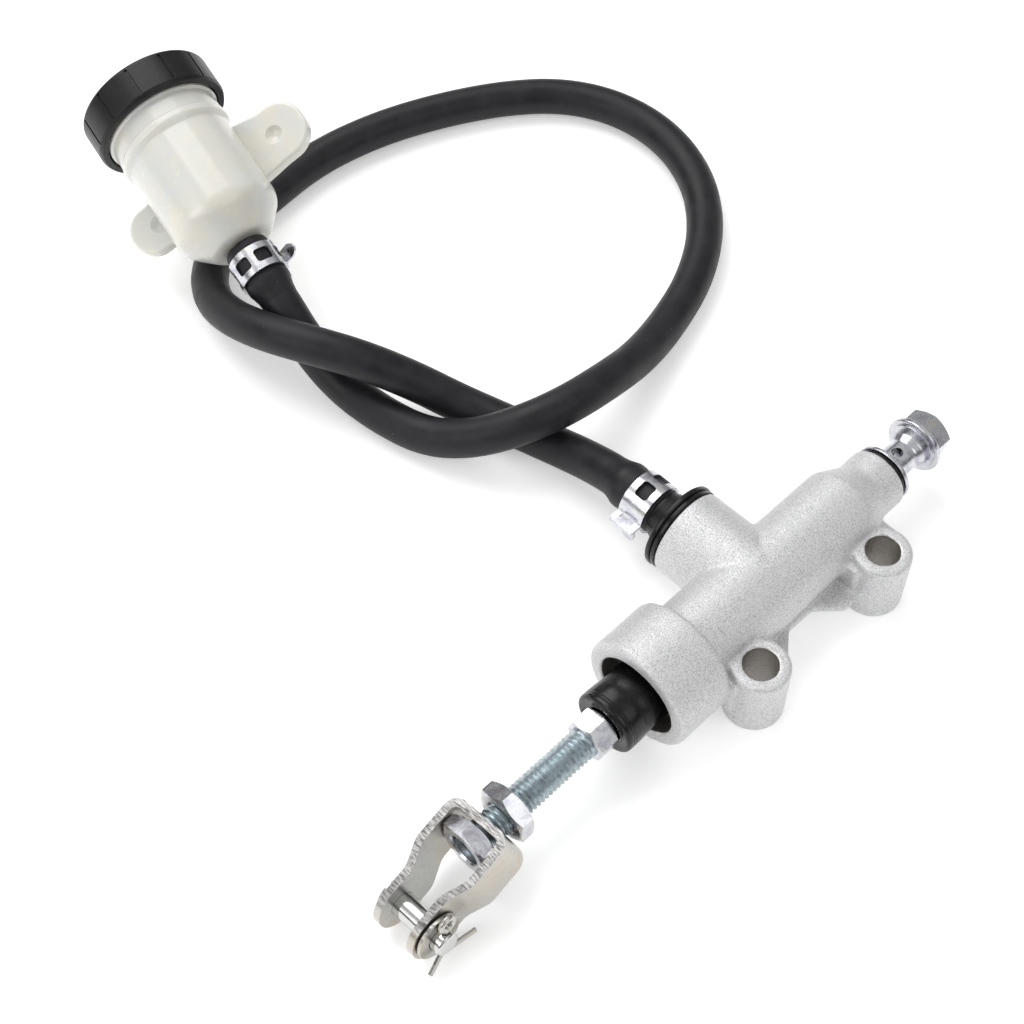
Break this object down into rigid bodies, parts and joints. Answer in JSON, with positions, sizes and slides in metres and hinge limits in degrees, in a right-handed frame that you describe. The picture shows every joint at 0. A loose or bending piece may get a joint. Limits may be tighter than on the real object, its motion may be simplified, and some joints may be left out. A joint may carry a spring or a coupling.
{
  "type": "rear brake master cylinder",
  "caption": "Lever-pushed hydraulic master cylinder with a cast body, clevis pushrod, banjo outlet and a remote fluid reservoir on a hose.",
  "frame": {"origin": "midway between the two mounting holes, on the plane of the mounting bosses' feet", "axes": "+Z away from the mounting plane, +X along the bore from the clevis to the banjo bolt, +Y towards the fluid inlet"},
  "size_m": [0.2315, 0.2454, 0.0571],
  "materials": {
    "cast_aluminium": "sand cast, satin",
    "zinc_steel": "bright zinc plate",
    "bright_steel": "bright zinc plate, slightly warm",
    "chrome": "polished",
    "spring_steel": "oiled",
    "black_rubber": "satin",
    "hose_rubber": "matte",
    "milky_plastic": "translucent, satin",
    "black_plastic": "moulded, matte"
  },
  "bodies": {
    "housing": {"cylinder_housing": "cast_aluminium", "inlet_seal": "black_rubber", "inlet_fitting": "black_plastic", "reservoir_hose": "hose_rubber", "hose_clamp_reservoir": "zinc_steel", "hose_clamp_inlet": "zinc_steel", "reservoir_body": "milky_plastic", "reservoir_diaphragm": "black_rubber", "stop_washer": "zinc_steel", "stop_circlip": "spring_steel", "boot": "black_rubber", "return_spring": "spring_steel", "outlet_seal": "black_rubber"},
    "piston": {"piston": "bright_steel", "primary_cup": "black_rubber", "secondary_cup": "black_rubber", "spring_seat": "zinc_steel"},
    "pushrod": {"pushrod": "zinc_steel"},
    "lock_nut": {"lock_nut": "zinc_steel"},
    "clevis": {"clevis_bracket": "bright_steel", "clevis_nut": "zinc_steel"},
    "clevis_pin": {"clevis_pin": "chrome", "pin_washer": "bright_steel", "cotter_pin": "bright_steel"},
    "cap_plate": {"diaphragm_plate": "black_plastic"},
    "cap": {"reservoir_cap": "black_plastic"},
    "banjo_washer": {"banjo_washer": "zinc_steel"},
    "banjo_bolt": {"banjo_bolt": "zinc_steel"}
  },
  "joints": [
    {"name": "piston_stroke", "type": "slide", "parent": "housing", "child": "piston", "axis": [1, 0, 0], "range_m": [0, 0.01], "stiffness_N_per_m": 1500, "springref_m": -0.008, "deforming": ["boot", "return_spring"]},
    {"name": "pushrod_tilt", "type": "hinge", "parent": "piston", "child": "pushrod", "pos_m": [-0.029, 0.016, 0.015], "axis": [0, 1, 0], "range_deg": [-2, 2], "stiffness_Nm_per_rad": 4},
    {"name": "lock_nut_spin", "type": "hinge", "parent": "pushrod", "child": "lock_nut", "pos_m": [-0.0913, 0.016, 0.015], "axis": [1, 0, 0], "range_deg": [-180, 180]},
    {"name": "clevis_adjust", "type": "slide", "parent": "pushrod", "child": "clevis", "axis": [1, 0, 0], "range_m": [-0.0025, 0.0002]},
    {"name": "clevis_pin_spin", "type": "hinge", "parent": "clevis", "child": "clevis_pin", "pos_m": [-0.11834, 0.01484, 0.00775], "axis": [-0.0103, 0.9921, -0.1248], "continuous": true},
    {"name": "cap_lift", "type": "slide", "parent": "housing", "child": "cap_plate", "axis": [0.1588, 0.949, 0.2723], "range_m": [0, 0.006]},
    {"name": "cap_turn", "type": "hinge", "parent": "cap_plate", "child": "cap", "pos_m": [-0.01856, 0.229, 0.03788], "axis": [0.1588, 0.949, 0.2723], "range_deg": [0, 720]},
    {"name": "banjo_lift", "type": "slide", "parent": "housing", "child": "banjo_washer", "axis": [1, 0, 0], "range_m": [0, 0.005]},
    {"name": "banjo_turn", "type": "hinge", "parent": "banjo_washer", "child": "banjo_bolt", "pos_m": [0.05, 0.016, 0.015], "axis": [1, 0, 0], "range_deg": [0, 1440]}
  ],
  "couplings": [
    {"joint": "cap_turn", "follows": "cap_lift", "rad_per_m": 2094.4},
    {"joint": "banjo_turn", "follows": "banjo_lift", "rad_per_m": 5026.5}
  ]
}
